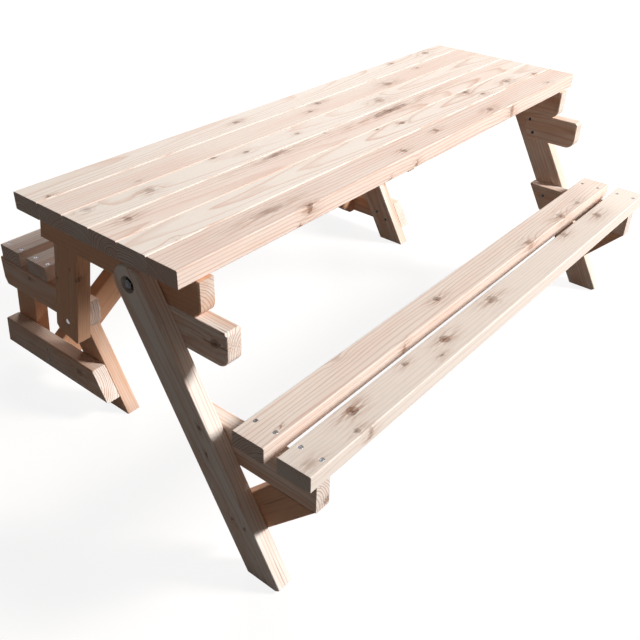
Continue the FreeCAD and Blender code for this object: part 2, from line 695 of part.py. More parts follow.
def write_parts():
    """Check every object and write each named sub-part."""
    doc.recompute()
    for item in doc.Objects:
        if "Invalid" in item.State or "Error" in item.State:
            raise RuntimeError(f"{item.Label} failed: {item.State}")
    os.makedirs("parts", exist_ok=True)
    for item in doc.Objects:
        if item.TypeId not in ("PartDesign::Body", "Part::Feature"):
            continue
        if item.Shape.isNull() or not item.Shape.isValid():
            raise RuntimeError(f"{item.Label} has no valid shape")
        item.Shape.exportStep(os.path.join("parts", item.Label + ".step"))
        print(f"{item.Label}: {len(item.Shape.Solids)} solids, {item.Shape.Volume / 1e6:.3f} litres")
    print(f"fold {number('fold_angle'):.3f} degrees, origin_y {number('origin_y'):.3f}")
    for name, (y, z) in (("pivot", PIVOT), ("hinge", HINGE)):
        print(f"{name}: y {number(y) + number('origin_y'):.3f}, z {number(z):.3f}")


make_front_frame()
make_tabletop()
make_rear_frame()
make_screws()
make_bolts()
write_parts()
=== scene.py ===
"""Looks of the convertible picnic table bench: planed larch boards, zinc screws, bolts, stage."""

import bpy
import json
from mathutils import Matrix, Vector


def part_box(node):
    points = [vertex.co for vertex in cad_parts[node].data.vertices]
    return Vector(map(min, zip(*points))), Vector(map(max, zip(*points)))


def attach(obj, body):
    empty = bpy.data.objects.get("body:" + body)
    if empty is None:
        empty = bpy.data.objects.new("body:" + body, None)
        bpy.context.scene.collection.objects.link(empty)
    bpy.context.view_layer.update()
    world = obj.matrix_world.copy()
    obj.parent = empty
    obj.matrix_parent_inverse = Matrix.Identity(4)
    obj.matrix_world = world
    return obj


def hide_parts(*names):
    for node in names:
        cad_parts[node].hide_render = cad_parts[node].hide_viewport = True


bl_info = {
    "name": "Convertible picnic table bench",
    "version": (1, 0, 0),
    "blender": (4, 5, 0),
    "location": "3D View > Sidebar > Picnic bench",
    "description": "Boards with a solid wood grain, countersunk screws, pivot bolts and a studio",
    "category": "Add Mesh",
}

import json
import math
import random

import bmesh
import bpy
import numpy as np
from mathutils import Matrix, Vector

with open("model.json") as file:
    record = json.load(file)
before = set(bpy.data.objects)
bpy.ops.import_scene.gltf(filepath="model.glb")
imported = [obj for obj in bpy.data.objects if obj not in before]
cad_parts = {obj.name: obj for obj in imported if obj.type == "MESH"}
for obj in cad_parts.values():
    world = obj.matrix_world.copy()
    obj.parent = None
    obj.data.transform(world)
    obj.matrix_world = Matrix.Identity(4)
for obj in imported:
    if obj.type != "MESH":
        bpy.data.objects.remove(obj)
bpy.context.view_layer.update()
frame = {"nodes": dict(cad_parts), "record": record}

MM = 0.001
NODE_BODY = {name: body for body, names in frame["record"]["behaviour"]["bodies"].items()
             for name in names}
WHITE = (1.0, 1.0, 1.0)

BOARD_THICKNESS = 44 * MM
# Most of the CAD's screw heads stand a little proud of the wood, and these are sunk into it
SCREW_PROUD = 0.3 * MM
SCREW_SUNK = 0.7 * MM
SCREW_HEAD_RADIUS = 5.5 * MM
SCREW_SHANK_RADIUS = 2.5 * MM
SINK_PLAY = 0.5 * MM
SINK_DEPTH = 4.4 * MM
BOLT_RADIUS = 6 * MM
BOLT_HEAD = 7.5 * MM
DOME_RADIUS = 12 * MM
DOME_RISE = 5 * MM
NUT_WIDTH = 19 * MM
WASHER_RADIUS = 18 * MM
THREAD_LENGTH = 30 * MM
THREAD_PITCH = 1.75 * MM
THREAD_DEPTH = 0.8 * MM

# Points of a mesh that are nearer than this are one point
WELD = 0.002 * MM
# Corners round a screw and round a bolt, nut or washer
COARSE, FINE = 24, 48
# The angle between two faces under which they are one, from which their edge is an arris that is
# rubbed round, and from which the shading of finished wood and metal breaks
SAME_PLANE, ARRIS, WOOD_CREASE, METAL_CREASE = (math.radians(angle) for angle in (1, 25, 24, 30))

# Length along the grain and width across it of what the wood shows, in mm: the trunk's slow bend
# and its quick waves, the torn outline of knots, blotches, the wisps that trail off a knot, hair
# cracks, and fibres, which are finer in real wood and drawn 0.8 mm wide so that they show
BEND, WAVE, TEAR = (520, 70), (90, 16), (20, 25 / 3)
BLOTCH, WISP, CRACK, FIBRE = (260, 40), (60, 4), (160, 5), (45, 0.8)
# How far a knot's outline is torn along, across and through the board, in mm
TORN = (15.0, 9.0, 4.0)
# How far the parts of a knot reach along, across and through the board, in radii of the knot
KNOT_CORE, KNOT_HALO, KNOT_LIFT = (1.25, 1.0, 2.4), (4.6, 1.9, 4.0), (3.6, 1.9, 6.0)
# One branch may meet the board in each patch of this length and width in mm. A share of them do
BRANCH_PATCH = (260.0, 150.0)
BRANCH_SHARE = 0.5

# Where the tree's pith lies from the middle of a board (across, through, mm), how far the board
# leans away from it (mm per m), how much of it is heartwood and how dark its rings are
LOGS = {
    "table_plank_1": ((75, -95), (2, 3), 0.85, 1.00),
    "table_plank_2": ((12, -62), (-3, 24), -0.10, 0.85),
    "table_plank_3": ((-26, -48), (6, -26), 0.40, 0.80),
    "table_plank_4": ((20, -70), (-8, 26), -0.10, 0.70),
    "table_plank_5": ((-85, -90), (3, 4), 0.75, 0.60),
    "table_plank_6": ((34, -52), (10, -24), -0.10, 0.80),
    "front_seat_plank_inner": ((-80, -95), (3, 5), 0.45, 0.90),
    "front_seat_plank_outer": ((110, -88), (-2, 5), -0.20, 0.35),
}
# How dark the rings of the other boards are, and their share of heartwood, by kind of board or for
# one board alone. In the frame it turns them from pale to orange
COMMON_RINGS = 0.85
HEARTWOOD = {
    "table_hanger": 1.0, "table_rail": 0.9, "table_rail_right": 0.5, "armrest": 0.15,
    "front_leg": 0.0, "front_seat_support": 0.15, "front_brace": 0.9, "rear_seat_support": 0.45,
    "rear_leg": 0.75, "rear_leg_right": 0.1, "low_beam": 0.35, "rear_post": 0.9,
    "long_brace": 1.0, "rear_seat_plank": 0.5,
}
# Knots of the boards whose faces are seen: place along, across and through the board and radius in
# mm, how dark it is, and for a branch cut lengthwise how many times longer it is
KNOTS = {
    "table_plank_1": [(-591, 3, 22, 13, 0.5, 3), (-500, -44, 22, 8, 0.9), (746, -24, 22, 6, 0.6),
                      (371, -17, 22, 11, 0.7), (105, 6, 22, 7, 0.8), (-85, -14, 22, 8, 0.8),
                      (-61, -45, -15, 5, 0.8), (463, -45, -3, 8, 0.7), (-535, -45, -18, 3, 0.9),
                      (-180, -45, -20, 3, 0.9)],
    "table_plank_2": [(-813, -30, 22, 7, 0.1), (89, 17, 22, 7, 0.9), (-2, 38, 22, 4, 0.8),
                      (461, 30, 22, 10, 0.8), (488, -18, 22, 7, 0.8), (661, -6, 22, 11, 0.7),
                      (806, -33, 22, 7, 0.7)],
    "table_plank_3": [(-818, 17, 22, 9, 0.8), (155, 14, 22, 10, 0.85, 6),
                      (-335, 28, 22, 9, 0.75, 4), (-125, 36, 22, 5, 0.7)],
    "table_plank_4": [(-849, 28, 22, 10, 0.5), (-690, 5, 22, 10, 0.7), (208, 0, 22, 16, 0.5),
                      (-455, 38, 22, 5, 0.85), (-368, 5, 22, 7, 0.8), (-177, -3, 22, 5, 0.85)],
    "table_plank_5": [(-673, -27, 22, 8, 0.35), (360, -12, 22, 14, 0.7), (584, 20, 22, 6, 0.8),
                      (58, 28, 22, 9, 0.8), (-16, -4, 22, 7, 0.75)],
    "table_plank_6": [(-862, -36, 22, 4, 0.9), (764, 13, 22, 12, 0.7), (562, 21, 22, 7, 0.8),
                      (-228, -3, 22, 8, 0.85)],
    "front_seat_plank_inner": [
        (-160, 0, 22, 9, 0.9), (-550, 34, 22, 10, 0.2), (-813, -25, 22, 2.5, 1.0),
        (675, -24, 22, 8, 0.6), (537, -28, 22, 13, 0.7), (301, -38, 22, 13, 0.6),
        (-379, -45, -2, 6, 0.7)],
    "front_seat_plank_outer": [
        (-307, 11, 22, 12, 0.8), (-370, -21, 22, 6, 0.7), (-457, 27, 22, 7, 0.7),
        (-675, 17, 22, 12, 0.9), (-719, -29, 22, 7, 0.8), (-859, -15, 22, 13, 0.3),
        (625, 11, 22, 12, 0.7), (422, 31, 22, 11, 0.6), (-64, 14, 22, 14, 0.7),
        (-689, -45, 4, 7, 0.6)],
    "front_leg_left": [(-50, 6, -22, 4, 1.0), (-215, -8, -22, 4, 1.0)],
    "armrest_left": [(-62, 8, -22, 10, 0.95)],
    "table_hanger_left": [(110, 26, -22, 4, 0.5), (20, 18, -22, 4, 0.5), (-40, -34, -22, 3, 0.8)],
}

# The boards of each group, by how their nodes' names begin, and their material slot
BOARD_GROUPS = {
    "tabletop_planks": (("table_plank_",), "tabletop_planks"),
    "tabletop_frame": (("table_rail_", "table_hanger_"), "frame_boards"),
    "front_frame": (("front_leg_", "armrest_", "front_seat_support_", "front_brace_"),
                    "frame_boards"),
    "front_seat": (("front_seat_plank_",), "seat_planks"),
    "rear_frame": (("rear_seat_support_", "rear_leg_", "low_beam_", "rear_post_", "long_brace_"),
                   "frame_boards"),
    "rear_seat": (("rear_seat_plank_",), "seat_planks"),
}
SCREW_NODES = ("tabletop_screws", "front_frame_screws", "front_seat_screws", "rear_frame_screws",
               "rear_seat_screws")

# Place and width of each soft box in metres. Its power is one of the stage's settings
SOFT_BOXES = {"key": ((8.3, -9.0, 7.5), 3.4), "fill": ((-5.5, -2.5, 3.2), 4.0),
              "back": ((4.4, 4.8, 3.0), 3.0)}
LIT_POINT = Vector((0, 0, 0.4))
FLOOR_REACH = 25
# Between these distances in metres the floor goes from its level under the table to full white
FLOOR_FADE = (1.8, 4.5)
FLOOR_LEVEL = 0.88


def linear(hex_colour):
    """An sRGB colour written in hex, as the linear values that a shader takes."""
    parts = [int(hex_colour[start:start + 2], 16) / 255 for start in (1, 3, 5)]
    return tuple(part / 12.92 if part <= 0.04045 else ((part + 0.055) / 1.055) ** 2.4
                 for part in parts)


class PicnicWood(bpy.types.PropertyGroup):
    rounding: bpy.props.FloatProperty(
        name="Edge rounding", description="How far the arrises are rubbed round",
        default=0.9 * MM, min=0, unit="LENGTH")
    ring_width: bpy.props.FloatProperty(
        name="Ring width", description="Mean width of a year's growth in mm", default=6.2, min=1)
    sapwood: bpy.props.FloatVectorProperty(
        name="Sapwood", description="Pale wood between the dark lines", subtype="COLOR",
        default=linear("#f5e8dc"))
    heartwood: bpy.props.FloatVectorProperty(
        name="Heartwood", description="Pinkish wood nearer the pith", subtype="COLOR",
        default=linear("#f0d6c7"))
    latewood: bpy.props.FloatVectorProperty(
        name="Latewood", description="The darker line that ends each ring", subtype="COLOR",
        default=linear("#c8967a"))
    frame_sapwood: bpy.props.FloatVectorProperty(
        name="Frame sapwood", description="Pale wood of the frame's boards", subtype="COLOR",
        default=linear("#f6eadf"))
    frame_heartwood: bpy.props.FloatVectorProperty(
        name="Frame heartwood", description="Orange wood of the frame's boards", subtype="COLOR",
        default=linear("#dcac8a"))


class PicnicMetal(bpy.types.PropertyGroup):
    zinc: bpy.props.FloatVectorProperty(
        name="Bright zinc", description="Plating on the seats' screws and the hinge bolts",
        subtype="COLOR", default=linear("#b0b2b6"))
    # Darker zinc: painted shade on the pivot bolts and the lap screws, which sit in recesses and
    # on faces turned away from the key light
    shade_darkened_zinc: bpy.props.FloatVectorProperty(
        name="Zinc darkened for shade", description="Weathered plating on the pivot bolts and the lap screws",
        subtype="COLOR", default=linear("#3d3e41"))


class PicnicStage(bpy.types.PropertyGroup):
    key: bpy.props.FloatProperty(
        name="Key light", description="Soft box at the front right", default=3080, unit="POWER")
    fill: bpy.props.FloatProperty(
        name="Fill light", description="Weak soft box at the left", default=10, unit="POWER")
    back: bpy.props.FloatProperty(
        name="Back light", description="Soft box at the rear right", default=270, unit="POWER")
    ambient: bpy.props.FloatProperty(
        name="Ambient", description="Light of the room on the wood", default=0.02, min=0)
    tint: bpy.props.FloatVectorProperty(
        name="Ambient tint", description="The room's light comes off warm walls",
        subtype="COLOR", default=linear("#ffdcc0"))
    floor: bpy.props.FloatVectorProperty(
        name="Floor", description="The floor as the light finds it, before it is lifted to white",
        subtype="COLOR", default=linear("#6e6966"))


def feed(tree, socket, source):
    """Give a socket a value, or link it to an output or to a node's first output in use. None
    leaves it alone."""
    if isinstance(source, bpy.types.Node):
        source = next(output for output in source.outputs if output.enabled)
    if isinstance(source, bpy.types.NodeSocket):
        tree.links.new(source, socket)
    elif source is not None:
        socket.default_value = (*source, 1) if socket.type == "RGBA" else source


def add(tree, kind, *sources, **settings):
    """A shader node with its settings, and a source for each of its sockets in use, in order."""
    node = tree.nodes.new("ShaderNode" + kind)
    for key, value in settings.items():
        setattr(node, key, value)
    sockets = [socket for socket in node.inputs if socket.enabled]
    for socket, source in zip(sockets, sources):
        feed(tree, socket, source)
    return node


def new_material(name):
    """A material, its tree and its surface shader."""
    material = bpy.data.materials.new(name)
    material.use_nodes = True
    return material, material.node_tree, material.node_tree.nodes["Principled BSDF"]


def seen_rays(tree):
    """1 where a surface is seen, also in a reflection or through glass, and 0 where it lights."""
    path = add(tree, "LightPath").outputs
    seen = add(tree, "Math", path["Is Camera Ray"], path["Is Glossy Ray"], operation="MAXIMUM")
    return add(tree, "Math", seen, path["Is Transmission Ray"], operation="MAXIMUM")


def knot_group():
    """One knot: how it lifts the rings round it, and its core, dark rim and stained halo."""
    name = "Knot"
    if name in bpy.data.node_groups:
        return bpy.data.node_groups[name]
    tree = bpy.data.node_groups.new(name, "ShaderNodeTree")
    for direction, kind, label in (
            ("INPUT", "Vector", "Place"), ("INPUT", "Vector", "Centre"),
            ("INPUT", "Float", "Radius"), ("INPUT", "Float", "Darkness"),
            ("INPUT", "Float", "Lift"), ("INPUT", "Vector", "Marks"),
            ("OUTPUT", "Float", "Lift"), ("OUTPUT", "Vector", "Marks")):
        tree.interface.new_socket(label, in_out=direction, socket_type="NodeSocket" + kind)
    given = tree.nodes.new("NodeGroupInput").outputs
    result = tree.nodes.new("NodeGroupOutput").inputs
    away = add(tree, "VectorMath", given["Place"], given["Centre"], operation="SUBTRACT")
    shrink = add(tree, "Math", 1.0, given["Radius"], operation="DIVIDE")
    away = add(tree, "VectorMath", away, shrink, operation="SCALE")

    def distance(radii):
        oval = add(tree, "VectorMath", away, radii, operation="DIVIDE")
        return add(tree, "VectorMath", oval, operation="LENGTH").outputs["Value"]

    def bell(far):
        square = add(tree, "Math", far, 2.0, operation="POWER")
        minus = add(tree, "Math", square, -1.0, operation="MULTIPLY")
        return add(tree, "Math", minus, operation="EXPONENT")

    # The rim is a narrow dark ring at the knot's edge, the eye a dark spot at its middle
    rim_place, rim_width, rim_depth, eye_width, lift_share = 0.95, 0.17, 0.8, 0.36, 0.75
    reach = distance(KNOT_CORE)
    core = add(tree, "MapRange", reach, 0.5, 1.1, 1.0, 0.0, interpolation_type="SMOOTHSTEP")
    beyond = add(tree, "Math", reach, rim_place, operation="SUBTRACT")
    rim = bell(add(tree, "Math", beyond, rim_width, operation="DIVIDE"))
    eye = bell(add(tree, "Math", reach, eye_width, operation="DIVIDE"))
    dark = add(tree, "Math", rim, rim_depth, eye, operation="MULTIPLY_ADD")
    dark = add(tree, "Math", dark, given["Darkness"], operation="MULTIPLY")
    marks = add(tree, "CombineXYZ", core, dark, bell(distance(KNOT_HALO)))
    strong = add(tree, "VectorMath", marks, given["Darkness"], operation="SCALE")
    merged = add(tree, "VectorMath", given["Marks"], strong, operation="MAXIMUM")
    height = add(tree, "Math", bell(distance(KNOT_LIFT)), lift_share, operation="MULTIPLY")
    lift = add(tree, "Math", height, given["Radius"], given["Lift"], operation="MULTIPLY_ADD")
    feed(tree, result["Lift"], lift)
    feed(tree, result["Marks"], merged)
    return tree


def knot(tree, place, centre, radius, darkness, before):
    """A knot added to the ones before it."""
    node = tree.nodes.new("ShaderNodeGroup")
    node.node_tree = knot_group()
    sources = {"Place": place, "Centre": centre, "Radius": radius, "Darkness": darkness}
    if before is not None:
        sources.update(Lift=before.outputs["Lift"], Marks=before.outputs["Marks"])
    for label, source in sources.items():
        feed(tree, node.inputs[label], source)
    return node


def scattered_knots(tree, log, torn, before):
    """Small knots by chance, one at most in each patch of the tree, on either broad face."""
    length, width = BRANCH_PATCH
    along = add(tree, "SeparateXYZ", log).outputs[0]
    _, across, through = add(tree, "SeparateXYZ", torn).outputs
    flat = add(tree, "CombineXYZ", along, across, 0.0)
    solid = add(tree, "CombineXYZ", along, across, through)
    cell = add(tree, "TexVoronoi", add(tree, "VectorMath", flat, (1 / length, 1 / width, 0.0),
                                       operation="MULTIPLY"), 1.0, voronoi_dimensions="2D")
    size_chance, face_chance, _ = add(tree, "SeparateXYZ", cell.outputs["Color"]).outputs
    half = BOARD_THICKNESS / MM / 2
    upper = add(tree, "Math", face_chance, 0.5, operation="GREATER_THAN")
    face = add(tree, "MapRange", upper, 0.0, 1.0, -half, half)
    centre = add(tree, "VectorMath", cell.outputs["Position"], (length, width, 0.0),
                 add(tree, "CombineXYZ", 0.0, 0.0, face), operation="MULTIPLY_ADD")
    least = 1 - BRANCH_SHARE
    radius = add(tree, "MapRange", size_chance, least, 1.0, 0.4, 11.0)
    darkness = add(tree, "MapRange", size_chance, least, least + 0.01, 0.0, 0.85)
    return knot(tree, solid, centre, radius, darkness, before)


def growth_rings(tree, pith_distance, ring_width):
    """How far each point lies in the dark line that ends a year's ring. The rings' width swells
    and shrinks over some 30 mm of growth, and some years' lines are weaker."""
    slow = add(tree, "Math", pith_distance, 0.03, operation="MULTIPLY")
    swell = add(tree, "TexNoise", slow, 1.0, 1.0, noise_dimensions="1D")
    uneven = add(tree, "Math", swell, 26.0, pith_distance, operation="MULTIPLY_ADD")
    years = add(tree, "Math", uneven, ring_width, operation="DIVIDE")
    line = add(tree, "ValToRGB", add(tree, "Math", years, operation="FRACT"))
    # A ring is pale for over half its width, darkens towards its end and stops sharply
    stops = line.color_ramp.elements
    stops.new(1.0)
    for stop, (position, level) in zip(stops, ((0.58, 0), (0.90, 1), (1.0, 0))):
        stop.position, stop.color = position, (level, level, level, 1)
    luck = add(tree, "TexWhiteNoise", add(tree, "Math", years, operation="FLOOR"),
               noise_dimensions="1D")
    weight = add(tree, "MapRange", luck.outputs["Value"], 0.0, 1.0, 0.5, 1.0)
    return add(tree, "Math", line, weight, operation="MULTIPLY")


def planed_larch(name, sapwood, heartwood, latewood, ring_width, knots, scattered, cracks_and_painted_sunlit_ends):
    """Larch planed by machine and left bare: growth rings cut by every face of the board, so the
    broad faces show long arches, the edges stripes and the ends arcs, with a soft dry sheen. The
    frame's boards show hair cracks and have ends painted paler, as if sunlit, while the planks'
    ends are darkened, partly as end grain and partly as painted shade."""
    material, tree, surface = new_material(name)
    board, log, tone = (add(tree, "Attribute", attribute_name=label).outputs["Vector"]
                        for label in ("board", "log", "tone"))
    end = add(tree, "Attribute", attribute_name="end").outputs["Fac"]
    heart_share, value, ring_depth = add(tree, "SeparateXYZ", tone).outputs

    def pattern(size, *settings):
        """Noise drawn out along the grain."""
        length, width = size
        place = add(tree, "VectorMath", log, (1 / length, 1 / width, 1 / width),
                    operation="MULTIPLY")
        return add(tree, "TexNoise", place, 1.0, *settings)

    # The trunk wanders by some mm over half a metre, and by tenths of a mm over a hand's breadth
    wander = log
    for size, shift in ((BEND, 16.0), (WAVE, 1.5)):
        centred = add(tree, "VectorMath", pattern(size, 2.0).outputs["Color"], (0.5, 0.5, 0.5),
                      operation="SUBTRACT")
        wander = add(tree, "VectorMath", centred, (0.0, shift, shift), wander,
                     operation="MULTIPLY_ADD")

    ragged = pattern(TEAR, 4.0, 0.68)
    torn = add(tree, "VectorMath", ragged.outputs["Color"], [2 * reach for reach in TORN], board,
               operation="MULTIPLY_ADD")
    torn = add(tree, "VectorMath", torn, TORN, operation="SUBTRACT")
    last = None
    for along, across, through, radius, darkness, *stretch in knots:
        longer = stretch[0] if stretch else 1.0
        place = add(tree, "VectorMath", torn, (1 / longer, 1.0, 1.0), operation="MULTIPLY")
        last = knot(tree, place, (along / longer, across, through), radius, darkness, last)
    if scattered:
        last = scattered_knots(tree, log, torn, last)

    cross = add(tree, "VectorMath", wander, (0.0, 1.0, 1.0), operation="MULTIPLY")
    pith_distance = add(tree, "VectorMath", cross, operation="LENGTH").outputs["Value"]
    pith_distance = add(tree, "Math", pith_distance, last.outputs["Lift"], operation="ADD")
    late = growth_rings(tree, pith_distance, ring_width)

    # Heartwood lies nearer the pith and in blotches
    patch = add(tree, "MapRange", pattern(BLOTCH, 3.0), 0.3, 0.7, -0.35, 0.35)
    inward = add(tree, "MapRange", pith_distance, 60.0, 160.0, 0.3, -0.3)
    patch = add(tree, "Math", patch, inward, operation="ADD")
    # On the frame's boards the ends get less heartwood: painted light, paler as if sunlit
    if cracks_and_painted_sunlit_ends:
        patch = add(tree, "Math", end, -0.5, patch, operation="MULTIPLY_ADD")
    heart = add(tree, "Math", patch, heart_share, operation="ADD", use_clamp=True)
    colour = add(tree, "Mix", heart, sapwood, heartwood, data_type="RGBA")

    # The rings are darker on the sawn ends
    depth = add(tree, "MapRange", end, 0.0, 1.0, 0.80, 1.5)
    lines = add(tree, "Math", late, depth, operation="MULTIPLY")
    lines = add(tree, "Math", lines, ring_depth, operation="MULTIPLY")
    colour = add(tree, "Mix", lines, colour, latewood, data_type="RGBA")

    fibres = pattern(FIBRE, 3.0)
    shade = add(tree, "MapRange", fibres, 0.25, 0.75, 0.93, 1.05)
    shade = add(tree, "Math", shade, value, operation="MULTIPLY")
    colour = add(tree, "VectorMath", colour, shade, operation="SCALE")

    # Each knot's stained halo in wisps, its core in specks, and its broken rim and eye
    core, dark, halo = add(tree, "SeparateXYZ", last.outputs["Marks"]).outputs
    wisps = add(tree, "MapRange", pattern(WISP, 2.0), 0.42, 0.60, 0.05, 1.35)
    specks = add(tree, "MapRange", fibres, 0.3, 0.7, 0.25, 1.25)
    breaks = add(tree, "MapRange", ragged, 0.40, 0.58, 0.4, 1.15)
    for mark, strength, stain, mottle in ((halo, 0.70, "#a87757", wisps),
                                          (core, 0.90, "#8a5c40", specks),
                                          (dark, 1.00, "#40271b", breaks)):
        amount = add(tree, "Math", mark, strength, operation="MULTIPLY")
        amount = add(tree, "Math", amount, mottle, operation="MULTIPLY", use_clamp=True)
        colour = add(tree, "Mix", amount, colour, linear(stain), data_type="RGBA")

    relief = add(tree, "Math", fibres, 0.35, late, operation="MULTIPLY_ADD")
    if cracks_and_painted_sunlit_ends:
        cracks = add(tree, "MapRange", pattern(CRACK, 0.0), 0.79, 0.85, 0.0, 0.5)
        colour = add(tree, "Mix", cracks, colour, linear("#4a2f22"), data_type="RGBA")
        relief = add(tree, "Math", cracks, -2.0, relief, operation="MULTIPLY_ADD")

    # Sawn ends are darker, as end grain soaks up more light, and darker still on the planks, whose
    # ends are painted shade; the frame's ends are darkened less, painted light as if sunlit
    end_grain_and_painted_shade = add(tree, "VectorMath", colour, 0.95 if cracks_and_painted_sunlit_ends else 0.70, operation="SCALE")
    feed(tree, surface.inputs["Base Color"],
         add(tree, "Mix", end, colour, end_grain_and_painted_shade, data_type="RGBA"))
    feed(tree, surface.inputs["Roughness"], add(tree, "MapRange", late, 0.0, 1.0, 0.66, 0.52))
    feed(tree, surface.inputs["Normal"], add(tree, "Bump", 0.35, 0.25 * MM, None, relief))
    surface.inputs["Specular IOR Level"].default_value = 0.1
    return material


def zinc_plated_steel(name, colour, roughness):
    """Steel plated with zinc: a grey metal with a broken, slightly cloudy shine, in patches 3 mm
    wide with scratches of 0.6 mm."""
    material, tree, surface = new_material(name)
    place = add(tree, "TexCoord").outputs["Object"]
    clouds = add(tree, "TexNoise", place, 1 / (3 * MM), 3.0)
    scratches = add(tree, "TexNoise", place, 1 / (0.6 * MM), 2.0)
    shade = add(tree, "MapRange", clouds, 0.3, 0.7, 0.75, 1.05)
    gloss = add(tree, "MapRange", clouds, 0.3, 0.7, roughness - 0.08, roughness + 0.12)
    feed(tree, surface.inputs["Base Color"],
         add(tree, "VectorMath", colour, shade, operation="SCALE"))
    feed(tree, surface.inputs["Roughness"], gloss)
    feed(tree, surface.inputs["Normal"], add(tree, "Bump", 0.3, 0.05 * MM, None, scratches))
    surface.inputs["Metallic"].default_value = 1.0
    return material


def new_object(name, data):
    """An object in the scene."""
    item = bpy.data.objects.new(name, data)
    bpy.context.scene.collection.objects.link(item)
    return item


def piece(name, mesh, material, node):
    """An object that stands for a CAD node, rides with its body and takes its material slot."""
    item = new_object(name, mesh)
    mesh.materials.clear()
    mesh.materials.append(material)
    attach(item, NODE_BODY[node])
    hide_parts(node)
    return item


def welded_copy(node):
    """A CAD node's mesh to work on, its faces joined along their edges."""
    bm = bmesh.new()
    bm.from_mesh(frame["nodes"][node].data)
    bmesh.ops.remove_doubles(bm, verts=bm.verts, dist=WELD)
    return bm


def islands(node):
    """Points, lowest corner and highest corner of each separate solid in a CAD node."""
    bm = welded_copy(node)
    left, boxes = set(bm.verts), []
    while left:
        todo, found = [left.pop()], []
        while todo:
            vertex = todo.pop()
            found.append(vertex.co.copy())
            for edge in vertex.link_edges:
                other = edge.other_vert(vertex)
                if other in left:
                    left.remove(other)
                    todo.append(other)
        boxes.append((found, Vector(map(min, zip(*found))), Vector(map(max, zip(*found)))))
    bm.free()
    return sorted(boxes, key=lambda box: tuple(round(value, 4) for value in box[1]))


def screw_places():
    """Each screw of the CAD as its node, the point on the wood under its head, the direction that
    the head faces, and its length."""
    found = []
    for node in SCREW_NODES:
        for points, low, high in islands(node):
            size = high - low
            axis = max(range(3), key=lambda index: size[index])
            middle = (low + high) / 2
            # The rim of the head lies farthest from the axis
            wide = max(points, key=lambda point: (point - middle).length_squared - (
                point[axis] - middle[axis]) ** 2)
            direction = Vector((0, 0, 0))
            direction[axis] = 1 if wide[axis] > middle[axis] else -1
            face = middle.copy()
            face[axis] = high[axis] if direction[axis] > 0 else low[axis]
            # Only the heads that face down, under the rails, are flush with the wood
            proud = 0 if direction.z < 0 else SCREW_PROUD
            found.append((node, face - direction * proud, direction, size[axis]))
    return found


SCREWS = screw_places()


def loft(bm, rings, matrix, closed=False):
    """A skin over rings of equally many points, capped at both ends or closed on itself."""
    rows = [[bm.verts.new(matrix @ Vector(point)) for point in ring] for ring in rings]
    following = rows[1:] + rows[:1] if closed else rows[1:]
    for first, second in zip(rows, following):
        for index in range(len(first)):
            after = (index + 1) % len(first)
            bm.faces.new((first[index], first[after], second[after], second[index]))
    if not closed:
        bm.faces.new(rows[0][::-1])
        bm.faces.new(rows[-1])


def circle(radius, height, count=COARSE):
    """Points round +Z. The radius and the height may be functions of the angle."""
    points = []
    for step in range(count):
        angle = 2 * math.pi * step / count
        far = radius(angle) if callable(radius) else radius
        up = height(angle) if callable(height) else height
        points.append((far * math.cos(angle), far * math.sin(angle), up))
    return points


def pointing(point, direction):
    """The matrix that sets +Z along a direction at a point."""
    return Matrix.Translation(point) @ direction.to_track_quat("Z", "Y").to_matrix().to_4x4()


def finish_mesh(bm, name, crease):
    """A mesh with outward normals, smooth where its faces meet at less than the crease angle."""
    bmesh.ops.recalc_face_normals(bm, faces=bm.faces)
    mesh = bpy.data.meshes.new(name)
    bm.to_mesh(mesh)
    bm.free()
    mesh.shade_smooth()
    mesh.set_sharp_from_angle(angle=crease)
    return mesh


def countersinks(low, high):
    """A cutter with one shallow cone for each screw head that lies in a board's box. It starts
    above the wood and ends a little wider than the shank."""
    bm = bmesh.new()
    wide, above = SCREW_HEAD_RADIUS + SINK_PLAY, 0.3 * MM
    rings = [circle(wide + SCREW_SUNK + above, above), circle(wide, -SCREW_SUNK),
             circle(SCREW_SHANK_RADIUS + 0.1 * MM, -SINK_DEPTH)]
    for _, point, direction, _ in SCREWS:
        inside = point - direction * SCREW_HEAD_RADIUS
        if all(low[axis] < inside[axis] < high[axis] for axis in range(3)):
            loft(bm, rings, pointing(point, direction))
    return bm


def board_directions(bm):
    """The middle of a board and its directions along the grain, across it and through it."""
    longest = max(bm.edges, key=lambda edge: edge.calc_length())
    along = (longest.verts[1].co - longest.verts[0].co).normalized()
    if max(along, key=abs) < 0:
        along = -along

    def span(direction):
        reach = [vertex.co.dot(direction) for vertex in bm.verts]
        return min(reach), max(reach)

    through = None
    for axis in (Vector((1, 0, 0)), Vector((0, 1, 0)), Vector((0, 0, 1))):
        start, stop = span(axis)
        if abs(along.dot(axis)) < 1e-3 and abs(stop - start - BOARD_THICKNESS) < MM:
            through = axis
    if through is None:
        raise RuntimeError("a board has no side of the board thickness")
    directions = (along, through.cross(along), through)
    middle = sum((direction * (sum(span(direction)) / 2) for direction in directions), Vector())
    return middle, directions


